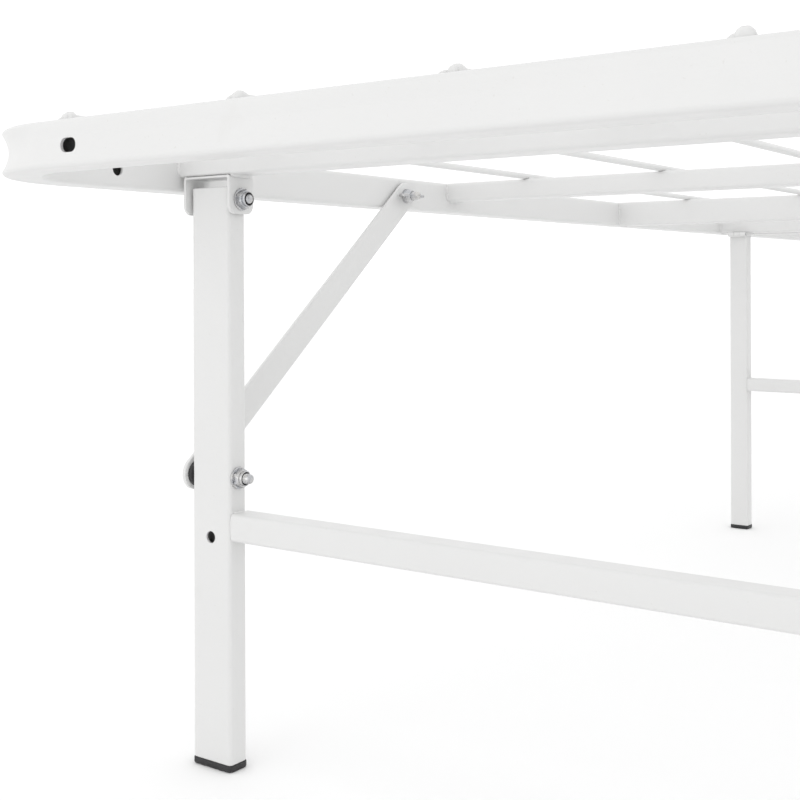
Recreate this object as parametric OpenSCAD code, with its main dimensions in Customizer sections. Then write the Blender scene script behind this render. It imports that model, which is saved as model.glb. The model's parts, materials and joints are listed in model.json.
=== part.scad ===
// Folding platform bed frame of bent steel tube, in two halves that fold together on hinges at
// mid-length. Folding leg frames stand under the foot end, the middle and the head end.
// X runs across the bed, Y from the foot end to the head end, Z up from the floor.
// The origin is on the floor under the middle of the frame.

/* [Overall] */
// Length of the opened frame
bed_l = 2030; // [1600:5:2440]
// Width of the frame
bed_w = 914; // [760:1:1600]
// Height of the rail tops above the floor
deck_h = 350; // [280:5:460]

/* [Rails] */
// Height of the rail tube
rail_h = 22; // [18:1:32]
// Width of the rail tube
rail_w = 20; // [16:1:26]
// Wall of the rail tube
rail_wall = 1.5; // [1:0.1:2.5]
// Radius of the rounded edges of the rail tube
rail_round = 2; // [1.5:0.25:5]
// Outer radius of the bent corners
bend_r = 72; // [50:1:90]
// Gap between the rail ends at the fold
fold_gap = 2.5; // [1:0.5:6]
// Half the width of the bolt slots beside each corner of the end rail
corner_slot_r = 3.3; // [2.5:0.1:5]
// Length of those slots
corner_slot_l = 10.4; // [8:0.2:16]
// Radius of the bolt holes in the side rails beside each corner
corner_hole_r = 3.5; // [2.5:0.25:5]
// Distance of the bolt slots and holes from the corner
corner_hole_at = 96; // [92:1:120]
// Distance of the end holes below the middle of the rail
corner_hole_drop = 1.2; // [0:0.2:3]

/* [Cross bars] */
// Height of the cross bar tube
bar_h = 13.6; // [10:0.2:20]
// Width of the cross bar tube
bar_d = 20; // [15:1:26]
// Wall of the cross bar, tie and leg tubes
tube_wall = 1.3; // [1:0.1:2]
// Radius of the rounded edges of the cross bar and tie tubes
tube_round = 2; // [1.5:0.25:3]
// Distance from the end of the bed to the bar that carries the leg frame
leg_bar_y = 151.5; // [140:0.5:220]
// Distance from the end of the bed to the first cross bar
cross_bar_1_y = 430; // [400:5:500]
// Distance from the end of the bed to the second cross bar
cross_bar_2_y = 726; // [600:5:740]
// Distance from the fold to the bar beside it
fold_bar_y = 32; // [26:1:60]

/* [Wires] */
// Diameter of the deck wires
wire_d = 4.5; // [3:0.5:6]
// Distance of the first wire from the side of the bed
wire_inset = 87; // [60:1:110]
// Largest spacing of the wires
wire_pitch_max = 106; // [70:1:140]
// Depth to which a wire is pressed flat where it is welded on
wire_flat = 0.3; // [0.1:0.1:0.6]
// Distance from the outer face of the end rail to the wire ends
wire_end = 5; // [4:0.5:8]

/* [Leg frames] */
// Width of an end leg tube, across the bed
leg_w = 29.5; // [22:0.5:34]
// Depth of an end leg tube, along the bed
leg_d = 14; // [10:0.5:18]
// Radius of the rounded edges of the leg tubes
leg_round = 2.7; // [1.5:0.1:4]
// Width of a middle leg tube, across the bed
mid_leg_w = 19.5; // [16:0.5:24]
// Depth of a middle leg tube, along the bed
mid_leg_d = 14; // [12:0.5:20]
// Gap between an end leg and the inner face of its side rail
leg_in = 7; // [6.5:0.5:40]
// Distance from the side of the bed to the middle legs
mid_leg_inset = 32; // [24:0.5:60]
// Distance from the fold to the middle legs
mid_leg_y = 38; // [30:1:60]
// Height of the end legs' tie tube
tie_h = 15.8; // [12:0.2:20]
// Depth of the end legs' tie tube
tie_d = 16; // [12:0.5:20]
// Height of that tie above the floor
leg_tie_z = 137.8; // [80:0.1:148]
// Distance of that tie's front behind the front of the legs
leg_tie_back = 0.8; // [0.4:0.1:4]
// Height and depth of the middle legs' tie tube
mid_tie_w = 14; // [12:0.5:14]
// Height of that tie above the floor
mid_tie_z = 160; // [80:1:200]
// Radius of the hole in the front of each end leg
leg_hole_r = 3.4; // [2:0.1:4.5]
// Height of that hole above the floor
leg_hole_z = 131.2; // [80:0.2:150]
// Height of the foot cap's rim
cap_rim = 4; // [2:0.5:8]
// Length of the foot cap's plug
cap_plug = 18; // [10:1:30]

/* [Pivots] */
// Thickness of the leg bracket plate
plate_t = 1.6; // [1.4:0.1:2.5]
// Width of the leg bracket, along the bed
bracket_d = 19.5; // [18:0.5:28]
// Distance from the end leg pivot up to the bracket plate
pivot_drop = 12.3; // [11.5:0.1:20]
// Length of a bracket ear below the pivot
ear_below = 8.2; // [7:0.1:12]
// Length of the leg above its pivot
leg_above = 7.1; // [5:0.1:8]
// Radius of the pivot bolts
bolt_r = 3; // [2.5:0.5:4]
// Radial clearance of a bolt in its hole
bolt_gap = 0.05; // [0.02:0.01:0.1]
// Width of the gap between a leg and each side of its bracket
leg_gap = 1.5; // [0.3:0.1:2]

/* [Braces] */
// Width of the brace
brace_w = 19; // [14:1:24]
// Thickness of the brace
brace_t = 2.5; // [2:0.1:3.5]
// Height of the brace's lower bolt
brace_bolt_z = 165.3; // [155:0.1:220]
// Distance along the bed from the leg to the brace's clamp screw
brace_reach = 210; // [150:2:240]
// Distance of the clamp screw below the middle of the rail
clamp_below = 2; // [0:0.5:5]
// Length of the clamp screw past the brace
clamp_out = 12; // [10:0.5:20]
// Thickness of the spacer between the brace and the leg
spacer_t = 2.8; // [2:0.1:5]
// Distance of the spacer's edge inside the edge of the brace
spacer_in = 1.9; // [0.3:0.1:3]
// Gap between parts that turn against each other
face_gap = 0.3; // [0.2:0.05:0.5]

/* [Fold hinges] */
// Radius of the hinge knuckles
knuckle_r = 4.5; // [4:0.25:6]
// Radius of the hinge pins
hinge_pin_r = 2.5; // [2:0.25:3]
// Thickness of the hinge leaves
leaf_t = 2.5; // [2:0.25:3]
// Length of a hinge leaf from the pin
leaf_l = 45; // [30:1:70]
// Clearance above the wires when the frame is folded flat
fold_clear = 1.3; // [0.5:0.1:4]

/* [Middle leg hinges] */
// Thickness of the leaves over the middle legs
mid_leaf_t = 1.5; // [1:0.1:2]
// Gap between the two leaves
mid_leaf_gap = 1; // [0.5:0.1:2]
// Radius of the knuckles in front of the middle legs
mid_knuckle_r = 2.5; // [2:0.1:3]
// Radius of the pins in those knuckles
mid_pin_r = 1.2; // [1:0.1:1.5]

/* [Fasteners] */
// Thickness of the washers
washer_t = 1; // [0.8:0.1:1.6]
// Length of a pivot bolt past its nut
pivot_stud_out = 1; // [0.5:0.5:5]
// Length of a brace bolt past its nut
brace_stud_out = 4; // [1:0.5:8]
// Length of a wing of the wing nut
wing_l = 9; // [7:0.5:12]
// Thickness of the wings
wing_t = 2; // [1.5:0.1:3]
// Height of the wing nut's hub
wing_hub_t = 6; // [5:0.5:8]

/* [Hidden] */
$fn = 48;

COATED = [0.93, 0.93, 0.925];
ZINC = [0.74, 0.75, 0.77];
PLASTIC = [0.05, 0.05, 0.055];

half_l = bed_l / 2;
half_w = bed_w / 2;
eps = 1;

// heights
rail_mid_z = deck_h - rail_h / 2;
corner_hole_z = rail_mid_z - corner_hole_drop;
pivot_z = deck_h - bar_h - plate_t - pivot_drop;
mid_hinge_z = deck_h - rail_h - mid_leaf_t - mid_leaf_gap / 2;
mid_leg_top = mid_hinge_z - mid_leaf_gap / 2 - mid_leaf_t;
wire_top_z = deck_h + wire_d - wire_flat;
hinge_z = wire_top_z + fold_clear;

// places along the bed, measured for the foot half
end_pivot_y = -half_l + leg_bar_y;
mid_hinge_y = -mid_leg_y - mid_leg_d / 2 - mid_knuckle_r - face_gap;

// places across the bed, measured from the middle to the left
inner_side_x = -half_w + rail_w;
leg_x = inner_side_x + leg_in + leg_w / 2;
mid_leg_x = -half_w + mid_leg_inset + mid_leg_w / 2;
leg_side_x = leg_x - leg_w / 2;
brace_side_x = leg_side_x - spacer_t - face_gap;

// deck wires
wire_span = bed_w - 2 * wire_inset;
wire_n = ceil(wire_span / wire_pitch_max) + 1;
wire_pitch = wire_span / (wire_n - 1);

// braces
brace_dy = brace_reach;
brace_dz = rail_mid_z - clamp_below - brace_bolt_z;
brace_len = sqrt(brace_dy * brace_dy + brace_dz * brace_dz);
brace_angle = atan2(brace_dz, brace_dy);
brace_out_x = brace_side_x - brace_t - face_gap;
clamp_x0 = inner_side_x + face_gap;
clamp_x1 = brace_side_x + clamp_out;

// leg brackets
ear_round = ear_below * 0.6;
bracket_x0 = leg_side_x - leg_gap - plate_t;
bracket_x1 = leg_side_x + leg_w + leg_gap + plate_t;
leg_far_x = leg_side_x + leg_w;

// fasteners, in stock proportions to the bolt
hole_r = bolt_r + bolt_gap;
nut_r = bolt_r * 1.92;
nut_t = bolt_r * 1.7;
washer_r = bolt_r * 2.1;
head_r = bolt_r * 1.7;
head_t = bolt_r * 0.8;
pivot_bolt_end = washer_t + nut_t + pivot_stud_out;
brace_bolt_end = washer_t + nut_t + brace_stud_out;
collar_r = bolt_r * 2;
wing_hub_r = bolt_r * 1.7;
wing_in = 1.5;
wing_up = 2;

// hinges
hinge_x = -half_w + rail_w / 2;
leaf_w = rail_w - 2;
pin_head_r = hinge_pin_r + 1;
pin_head_t = 1;
knuckle_w = leaf_w / 3;
knuckle_play = 0.25;
leaf_notch = knuckle_r + 0.5;
inner_round = 0.4;
mid_knuckle_w = mid_leg_w / 3;

module coated() color(COATED) children();
module zinc() color(ZINC) children();
module plastic() color(PLASTIC) children();

// the other side, the other half, and both sides
module right() mirror([1, 0, 0]) children();
module head() mirror([0, 1, 0]) children();
module both_sides() {
    children();
    right() children();
}

// ---- tube sections ----

module rounded_rect(w, h, r) {
    square([w - 2 * r, h], center = true);
    square([w, h - 2 * r], center = true);
    for (x = [-1, 1], y = [-1, 1])
        translate([x * (w / 2 - r), y * (h / 2 - r)]) circle(r);
}

module ring_section(w, h, r, wall) {
    difference() {
        rounded_rect(w, h, r);
        rounded_rect(w - 2 * wall, h - 2 * wall, max(r - wall, inner_round));
    }
}

// tube along X, centred on x = 0
module tube_x(length, d, h, r, wall) {
    rotate([90, 0, 90]) linear_extrude(length, center = true) ring_section(d, h, r, wall);
}

// upright tube from z0 to z1
module tube_z(z0, z1, w, d, r, wall) {
    translate([0, 0, z0]) linear_extrude(z1 - z0) ring_section(w, d, r, wall);
}

// ---- rails: one bent tube for each half ----

// the rail's path with the section w by h, its straight ends running on by extra
module rail_path(w, h, r, extra) {
    side_l = half_l - bend_r - fold_gap / 2 + extra;
    centre_r = bend_r - rail_w / 2;
    translate([0, -half_l + rail_w / 2, rail_mid_z])
        rotate([90, 0, 90]) linear_extrude(bed_w - 2 * bend_r, center = true)
            rounded_rect(w, h, r);
    both_sides() {
        translate([-half_w + rail_w / 2, -half_l + bend_r, rail_mid_z])
            rotate([-90, 0, 0]) linear_extrude(side_l) rounded_rect(w, h, r);
        translate([-half_w + bend_r, -half_l + bend_r, rail_mid_z])
            rotate([0, 0, 180]) rotate_extrude(angle = 90, $fn = 96)
                translate([centre_r, 0]) rounded_rect(w, h, r);
    }
}

module slot_2d() {
    reach = corner_slot_l / 2 - corner_slot_r;
    square([2 * reach, 2 * corner_slot_r], center = true);
    for (side = [-1, 1]) translate([side * reach, 0]) circle(corner_slot_r);
}

module half_rail() {
    inner_r = max(rail_round - rail_wall, inner_round);
    difference() {
        rail_path(rail_w, rail_h, rail_round, 0);
        rail_path(rail_w - 2 * rail_wall, rail_h - 2 * rail_wall, inner_r, eps);
        both_sides() {
            translate([-half_w + corner_hole_at, -half_l - eps, corner_hole_z])
                rotate([-90, 0, 0]) linear_extrude(rail_w + 2 * eps) slot_2d();
            translate([-half_w - eps, -half_l + corner_hole_at, corner_hole_z])
                rotate([0, 90, 0]) cylinder(r = corner_hole_r, h = rail_w + 2 * eps);
        }
    }
}

module foot_rail() coated() half_rail();
module head_rail() coated() head() half_rail();

// ---- cross bars, flush with the rail tops ----

module cross_bar(y, d, h, r, wall) {
    translate([0, y, deck_h - h / 2]) tube_x(bed_w - 2 * rail_w, d, h, r, wall);
}

module low_bar(y) cross_bar(-half_l + y, bar_d, bar_h, tube_round, tube_wall);
module tall_bar(y) cross_bar(y, bar_d, rail_h, tube_round, tube_wall);

module foot_leg_bar() coated() low_bar(leg_bar_y);
module foot_cross_bar_outer() coated() low_bar(cross_bar_1_y);
module foot_cross_bar_inner() coated() tall_bar(-half_l + cross_bar_2_y);
module foot_fold_bar() coated() tall_bar(-fold_bar_y);
module head_leg_bar() coated() head() low_bar(leg_bar_y);
module head_cross_bar_outer() coated() head() low_bar(cross_bar_1_y);
module head_cross_bar_inner() coated() head() tall_bar(-half_l + cross_bar_2_y);
module head_fold_bar() coated() head() tall_bar(-fold_bar_y);

// ---- deck wires, welded on top of the rail and bars ----

module half_wires() {
    y0 = -half_l + wire_end;
    y1 = -fold_bar_y + bar_d / 2 + wire_end;
    for (i = [0 : wire_n - 1])
        translate([-wire_span / 2 + i * wire_pitch, y0, deck_h + wire_d / 2 - wire_flat])
            intersection() {
                rotate([-90, 0, 0]) cylinder(d = wire_d, h = y1 - y0);
                translate([-wire_d, -eps, wire_flat - wire_d / 2])
                    cube([2 * wire_d, y1 - y0 + 2 * eps, wire_d]);
            }
}

module foot_wires() coated() half_wires();
module head_wires() coated() head() half_wires();

// ---- leg brackets: a plate under the bar with two ears for the pivot bolt ----

// an ear with rounded lower corners, hanging from plate_z, its outer face at x
module ear(x, y, plate_z, z) {
    r = ear_round;
    bottom = z - ear_below;
    translate([x, y, 0]) rotate([90, 0, 90]) linear_extrude(plate_t) difference() {
        union() {
            translate([-bracket_d / 2, bottom + r]) square([bracket_d, plate_z - bottom - r]);
            translate([-bracket_d / 2 + r, bottom]) square([bracket_d - 2 * r, r + eps]);
            for (side = [-1, 1])
                translate([side * (bracket_d / 2 - r), bottom + r]) circle(r);
        }
        translate([0, z]) circle(hole_r);
    }
}

module bracket(x, y, plate_z, z, w) {
    half = w / 2 + leg_gap;
    translate([x - half - plate_t, y - bracket_d / 2, plate_z])
        cube([2 * (half + plate_t), bracket_d, plate_t]);
    ear(x - half - plate_t, y, plate_z + eps, z);
    ear(x + half, y, plate_z + eps, z);
}

module end_brackets() both_sides()
    bracket(leg_x, end_pivot_y, pivot_z + pivot_drop, pivot_z, leg_w);

module foot_leg_brackets() coated() end_brackets();
module head_leg_brackets() coated() head() end_brackets();

// ---- legs ----

// a drilling along X through a leg at height z
module cross_hole(x, y, z, w) {
    translate([x - w / 2 - eps, y, z]) rotate([0, 90, 0]) cylinder(r = hole_r, h = w + 2 * eps);
}

module end_leg() {
    difference() {
        translate([leg_x, end_pivot_y, 0])
            tube_z(cap_rim, pivot_z + leg_above, leg_w, leg_d, leg_round, tube_wall);
        cross_hole(leg_x, end_pivot_y, pivot_z, leg_w);
        cross_hole(leg_x, end_pivot_y, brace_bolt_z, leg_w);
        translate([leg_x, end_pivot_y - leg_d / 2 - eps, leg_hole_z])
            rotate([-90, 0, 0]) cylinder(r = leg_hole_r, h = tube_wall + 2 * eps);
    }
}

module mid_leg() {
    translate([mid_leg_x, -mid_leg_y, 0])
        tube_z(cap_rim, mid_leg_top, mid_leg_w, mid_leg_d, tube_round, tube_wall);
}

module end_tie() {
    translate([0, end_pivot_y + (tie_d - leg_d) / 2 + leg_tie_back, leg_tie_z])
        tube_x(-2 * leg_x - leg_w, tie_d, tie_h, tube_round, tube_wall);
}

// a plastic cap whose plug fits the inside of the leg
module cap(x, y, w, d, r) {
    fit = 2 * (tube_wall + bolt_gap);
    translate([x, y, 0]) {
        linear_extrude(cap_rim) rounded_rect(w, d, r);
        translate([0, 0, cap_rim - eps]) linear_extrude(cap_plug + eps)
            rounded_rect(w - fit, d - fit, max(r - tube_wall, inner_round));
    }
}

module end_caps() both_sides() cap(leg_x, end_pivot_y, leg_w, leg_d, leg_round);

module foot_leg_left() coated() end_leg();
module foot_leg_right() coated() right() end_leg();
module foot_leg_tie() coated() end_tie();
module foot_leg_caps() plastic() end_caps();
module head_leg_left() coated() head() end_leg();
module head_leg_right() coated() head() right() end_leg();
module head_leg_tie() coated() head() end_tie();
module head_leg_caps() plastic() head() end_caps();
module mid_leg_left() coated() mid_leg();
module mid_leg_right() coated() right() mid_leg();
module mid_leg_tie() coated() translate([0, -mid_leg_y, mid_tie_z])
    tube_x(-2 * mid_leg_x - mid_leg_w, mid_tie_w, mid_tie_w, tube_round, tube_wall);
module mid_leg_caps() plastic() both_sides()
    cap(mid_leg_x, -mid_leg_y, mid_leg_w, mid_leg_d, tube_round);

// ---- braces: a flat bar from the leg to a clamp screw beside the side rail ----

module brace() {
    translate([brace_side_x - brace_t, end_pivot_y, brace_bolt_z])
        rotate([brace_angle, 0, 0]) rotate([90, 0, 90]) linear_extrude(brace_t) difference() {
            union() {
                translate([0, -brace_w / 2]) square([brace_len, brace_w]);
                for (at = [0, brace_len]) translate([at, 0]) circle(brace_w / 2);
            }
            for (at = [0, brace_len]) translate([at, 0]) circle(hole_r);
        }
}

// children along +X from the clamp screw's axis at the rail's inner face
module at_clamp() {
    translate([0, end_pivot_y + brace_dy, brace_bolt_z + brace_dz]) rotate([0, 90, 0]) children();
}

module clamp_screw() at_clamp() {
    translate([0, 0, clamp_x0]) cylinder(r = bolt_r, h = clamp_x1 - clamp_x0);
    translate([0, 0, clamp_x0])
        cylinder(r = collar_r, h = brace_side_x - brace_t - clamp_x0);
}

module wing_nut() at_clamp() translate([0, 0, brace_side_x]) difference() {
    union() {
        cylinder(r = wing_hub_r, h = wing_hub_t);
        for (side = [-1, 1])
            translate([wing_t / 2, side * (wing_hub_r + wing_l / 2 - wing_in), wing_hub_t / 2 + wing_up])
                rotate([0, -90, 0]) linear_extrude(wing_t) union() {
                    circle(wing_l / 2);
                    translate([-wing_l / 2, side > 0 ? -wing_l / 2 : 0])
                        square([wing_l - wing_up, wing_l / 2]);
                }
    }
    translate([0, 0, -eps]) cylinder(r = hole_r, h = wing_hub_t + 2 * wing_l);
}

module foot_brace_left() coated() brace();
module foot_brace_right() coated() right() brace();
module head_brace_left() coated() head() brace();
module head_brace_right() coated() head() right() brace();
module foot_clamp_screw_left() zinc() clamp_screw();
module foot_clamp_screw_right() zinc() right() clamp_screw();
module head_clamp_screw_left() zinc() head() clamp_screw();
module head_clamp_screw_right() zinc() head() right() clamp_screw();
module foot_wing_nut_left() zinc() wing_nut();
module foot_wing_nut_right() zinc() right() wing_nut();
module head_wing_nut_left() zinc() head() wing_nut();
module head_wing_nut_right() zinc() head() right() wing_nut();

// ---- bolts, washers and nuts ----

// children along +X at (y, z), starting at x
module along_x(x, y, z) translate([x, y, z]) rotate([0, 90, 0]) children();

module bolt(x0, x1, y, z) {
    along_x(x0 - head_t, y, z) cylinder(r = head_r, h = head_t);
    along_x(x0 - eps, y, z) cylinder(r = bolt_r, h = x1 - x0 + eps);
}

module washer(x, y, z) along_x(x, y, z) difference() {
    cylinder(r = washer_r, h = washer_t);
    translate([0, 0, -eps]) cylinder(r = hole_r, h = washer_t + 2 * eps);
}

module nut(x, y, z) along_x(x, y, z) difference() {
    cylinder(r = nut_r, h = nut_t, $fn = 6);
    translate([0, 0, -eps]) cylinder(r = hole_r, h = nut_t + 2 * eps);
}

module pivot_bolts() both_sides()
    bolt(bracket_x0, bracket_x1 + pivot_bolt_end, end_pivot_y, pivot_z);
module pivot_washers() both_sides() washer(bracket_x1, end_pivot_y, pivot_z);
module pivot_nuts() both_sides() nut(bracket_x1 + washer_t, end_pivot_y, pivot_z);
module brace_bolts() both_sides()
    bolt(brace_out_x, leg_far_x + brace_bolt_end, end_pivot_y, brace_bolt_z);
module brace_washers() both_sides() washer(leg_far_x, end_pivot_y, brace_bolt_z);
module brace_nuts() both_sides() nut(leg_far_x + washer_t, end_pivot_y, brace_bolt_z);
module brace_spacers() both_sides() along_x(leg_side_x - spacer_t, end_pivot_y, brace_bolt_z)
    difference() {
        cylinder(r = brace_w / 2 - spacer_in, h = spacer_t);
        translate([0, 0, -eps]) cylinder(r = hole_r, h = spacer_t + 2 * eps);
    }

module foot_pivot_bolts() zinc() pivot_bolts();
module head_pivot_bolts() zinc() head() pivot_bolts();
module foot_pivot_washers() zinc() pivot_washers();
module head_pivot_washers() zinc() head() pivot_washers();
module foot_pivot_nuts() zinc() pivot_nuts();
module head_pivot_nuts() zinc() head() pivot_nuts();
module foot_brace_bolts() zinc() brace_bolts();
module head_brace_bolts() zinc() head() brace_bolts();
module foot_brace_spacers() plastic() brace_spacers();
module head_brace_spacers() plastic() head() brace_spacers();
module foot_brace_washers() zinc() brace_washers();
module head_brace_washers() zinc() head() brace_washers();
module foot_brace_nuts() zinc() brace_nuts();
module head_brace_nuts() zinc() head() brace_nuts();

// ---- fold hinges, welded on top of the side rails ----

// knuckle i of three, counted from the side of the bed
module knuckle(i) {
    translate([hinge_x - leaf_w / 2 + i * knuckle_w + knuckle_play / 2, 0, hinge_z])
        rotate([0, 90, 0]) cylinder(r = knuckle_r, h = knuckle_w - knuckle_play);
}

// the part of the leaf that reaches under knuckle i
module tongue(i) {
    translate([hinge_x - leaf_w / 2 + i * knuckle_w + knuckle_play / 2, -leaf_notch - eps, deck_h])
        cube([knuckle_w - knuckle_play, leaf_notch + eps, leaf_t]);
}

// a leaf on the foot side that carries the knuckles in the list held
module leaf(held) {
    difference() {
        union() {
            translate([hinge_x - leaf_w / 2, -leaf_l, deck_h])
                cube([leaf_w, leaf_l - leaf_notch, leaf_t]);
            for (i = held) {
                knuckle(i);
                tongue(i);
            }
        }
        translate([hinge_x - leaf_w, 0, hinge_z])
            rotate([0, 90, 0]) cylinder(r = hinge_pin_r + bolt_gap, h = 2 * leaf_w);
    }
}

module foot_hinge_leaves() coated() both_sides() leaf([0, 2]);
module head_hinge_leaves() coated() both_sides() head() leaf([1]);
module hinge_pins() zinc() both_sides() {
    span = leaf_w - knuckle_play;
    translate([hinge_x - span / 2, 0, hinge_z]) rotate([0, 90, 0])
        cylinder(r = hinge_pin_r, h = span);
    for (x = [hinge_x - span / 2 - pin_head_t, hinge_x + span / 2])
        translate([x, 0, hinge_z]) rotate([0, 90, 0])
            cylinder(r = pin_head_r, h = pin_head_t);
}

// ---- middle leg hinges: two leaves between each leg and the bar above it ----

// a leaf from its knuckles back to y1, between z0 and z0 + mid_leaf_t
module mid_leaf(held, z0, y1) {
    x0 = mid_leg_x - mid_leg_w / 2;
    back_y = mid_hinge_y + mid_knuckle_r + face_gap;
    difference() {
        union() {
            translate([x0, back_y, z0]) cube([mid_leg_w, y1 - back_y, mid_leaf_t]);
            for (i = held) translate([x0 + i * mid_knuckle_w + knuckle_play / 2, 0, 0]) {
                translate([0, mid_hinge_y, mid_hinge_z]) rotate([0, 90, 0])
                    cylinder(r = mid_knuckle_r, h = mid_knuckle_w - knuckle_play);
                translate([0, mid_hinge_y, z0])
                    cube([mid_knuckle_w - knuckle_play, back_y - mid_hinge_y + eps, mid_leaf_t]);
            }
        }
        translate([x0 - eps, mid_hinge_y, mid_hinge_z]) rotate([0, 90, 0])
            cylinder(r = mid_pin_r + bolt_gap, h = mid_leg_w + 2 * eps);
    }
}

module mid_hinge_upper_leaves() coated() both_sides()
    mid_leaf([0, 2], deck_h - rail_h - mid_leaf_t, -fold_bar_y + bar_d / 2);
module mid_hinge_lower_leaves() coated() both_sides()
    mid_leaf([1], mid_leg_top, -mid_leg_y + mid_leg_d / 2);
module mid_hinge_pins() zinc() both_sides()
    translate([mid_leg_x - mid_leg_w / 2, mid_hinge_y, mid_hinge_z])
        rotate([0, 90, 0]) cylinder(r = mid_pin_r, h = mid_leg_w);

foot_rail();
head_rail();
foot_leg_bar();
foot_cross_bar_outer();
foot_cross_bar_inner();
foot_fold_bar();
head_leg_bar();
head_cross_bar_outer();
head_cross_bar_inner();
head_fold_bar();
foot_wires();
head_wires();
foot_leg_brackets();
head_leg_brackets();
foot_hinge_leaves();
head_hinge_leaves();
hinge_pins();
foot_leg_left();
foot_leg_right();
foot_leg_tie();
foot_leg_caps();
head_leg_left();
head_leg_right();
head_leg_tie();
head_leg_caps();
mid_leg_left();
mid_leg_right();
mid_leg_tie();
mid_leg_caps();
mid_hinge_upper_leaves();
mid_hinge_lower_leaves();
mid_hinge_pins();
foot_brace_left();
foot_brace_right();
head_brace_left();
head_brace_right();
foot_clamp_screw_left();
foot_clamp_screw_right();
head_clamp_screw_left();
head_clamp_screw_right();
foot_wing_nut_left();
foot_wing_nut_right();
head_wing_nut_left();
head_wing_nut_right();
foot_pivot_bolts();
head_pivot_bolts();
foot_pivot_washers();
head_pivot_washers();
foot_pivot_nuts();
head_pivot_nuts();
foot_brace_bolts();
head_brace_bolts();
foot_brace_spacers();
head_brace_spacers();
foot_brace_washers();
head_brace_washers();
foot_brace_nuts();
head_brace_nuts();
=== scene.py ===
"""Looks of the folding metal bed frame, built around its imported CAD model."""
import json
import math
import random

import bmesh
import bpy
from mathutils import Matrix, Vector


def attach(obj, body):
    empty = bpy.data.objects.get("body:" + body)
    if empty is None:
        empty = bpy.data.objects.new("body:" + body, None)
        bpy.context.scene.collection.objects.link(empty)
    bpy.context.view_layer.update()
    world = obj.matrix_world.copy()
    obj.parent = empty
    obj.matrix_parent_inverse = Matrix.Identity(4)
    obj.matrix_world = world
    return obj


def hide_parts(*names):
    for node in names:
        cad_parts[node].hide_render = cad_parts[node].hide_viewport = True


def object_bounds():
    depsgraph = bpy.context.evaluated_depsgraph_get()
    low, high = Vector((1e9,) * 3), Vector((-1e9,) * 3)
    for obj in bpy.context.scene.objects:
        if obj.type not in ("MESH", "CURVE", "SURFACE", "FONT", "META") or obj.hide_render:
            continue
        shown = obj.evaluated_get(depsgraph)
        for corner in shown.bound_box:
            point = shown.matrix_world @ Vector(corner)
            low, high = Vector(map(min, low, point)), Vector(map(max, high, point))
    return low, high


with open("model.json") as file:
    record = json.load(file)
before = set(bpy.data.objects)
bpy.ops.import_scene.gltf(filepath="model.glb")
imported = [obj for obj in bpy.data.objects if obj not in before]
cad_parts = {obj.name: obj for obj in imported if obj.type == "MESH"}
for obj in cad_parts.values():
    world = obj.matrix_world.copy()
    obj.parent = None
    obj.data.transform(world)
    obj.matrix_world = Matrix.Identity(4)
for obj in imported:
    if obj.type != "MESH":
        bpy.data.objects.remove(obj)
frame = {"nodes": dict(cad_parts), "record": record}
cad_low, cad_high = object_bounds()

MM = 0.001

# ---- camera, floor and light ------------------------------------------------------------

CAMERA_HEADING = 35.8  # degrees, turned from +Y towards -X
CAMERA_FROM_CORNER = Vector((540.3, -362.3)) * MM  # from the near corner of the foot end
CAMERA_HEIGHT = 276.6 * MM
CAMERA_LENS = 55.7  # mm, on a 36 mm sensor
CAMERA_SHIFT = -0.1496
CAMERA_ROLL = -0.2


def make_camera():
    data = bpy.data.cameras.new("camera")
    data.lens = CAMERA_LENS
    data.sensor_width = 36.0
    data.shift_y = CAMERA_SHIFT
    data.clip_start = 0.01
    cam = bpy.data.objects.new("camera", data)
    bpy.context.collection.objects.link(cam)
    cam.location = (cad_low.x + CAMERA_FROM_CORNER.x, cad_low.y + CAMERA_FROM_CORNER.y, CAMERA_HEIGHT)
    turn = Matrix.Rotation(math.radians(CAMERA_HEADING), 4, "Z")
    tilt = Matrix.Rotation(math.radians(90), 4, "X")
    roll = Matrix.Rotation(math.radians(CAMERA_ROLL), 4, "Z")
    cam.rotation_euler = (turn @ tilt @ roll).to_euler()
    bpy.context.scene.camera = cam


def make_floor():
    mesh = bpy.data.meshes.new("floor")
    half = 30.0
    corners = [(-half, -half, 0), (half, -half, 0), (half, half, 0), (-half, half, 0)]
    mesh.from_pydata(corners, [], [(0, 1, 2, 3)])
    floor = bpy.data.objects.new("floor", mesh)
    bpy.context.collection.objects.link(floor)
    mat = bpy.data.materials.new("floor_paint")
    mat.use_nodes = True
    shader = mat.node_tree.nodes["Principled BSDF"]
    shader.inputs["Base Color"].default_value = (0.91, 0.91, 0.91, 1)
    shader.inputs["Roughness"].default_value = 0.9
    mesh.materials.append(mat)


def area_light(name, place, target, size, power):
    data = bpy.data.lights.new(name, "AREA")
    data.shape = "DISK"
    data.size = size
    data.energy = power
    light = bpy.data.objects.new(name, data)
    bpy.context.collection.objects.link(light)
    light.location = place
    aim = Vector(place) - Vector(target)
    light.rotation_euler = aim.to_track_quat("Z", "Y").to_euler()


def make_light():
    world = bpy.data.worlds.new("studio")
    bpy.context.scene.world = world
    world.use_nodes = True
    back = world.node_tree.nodes["Background"]
    back.inputs["Color"].default_value = (1, 1, 1, 1)
    back.inputs["Strength"].default_value = 1.15
    area_light("front", (-0.6, -2.4, 0.42), (-0.3, -1.0, 0.25), 1.2, 2.7)
    bpy.context.scene.view_settings.view_transform = "Standard"


make_camera()
make_floor()
make_light()

# ---- materials --------------------------------------------------------------------------


def new_material(name):
    mat = bpy.data.materials.new(name)
    mat.use_nodes = True
    return mat, mat.node_tree.nodes, mat.node_tree.links


def noise(nodes, links, scale, detail, source):
    tex = nodes.new("ShaderNodeTexNoise")
    tex.inputs["Scale"].default_value = scale
    tex.inputs["Detail"].default_value = detail
    links.new(source, tex.inputs["Vector"])
    return tex.outputs["Fac"]


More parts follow.
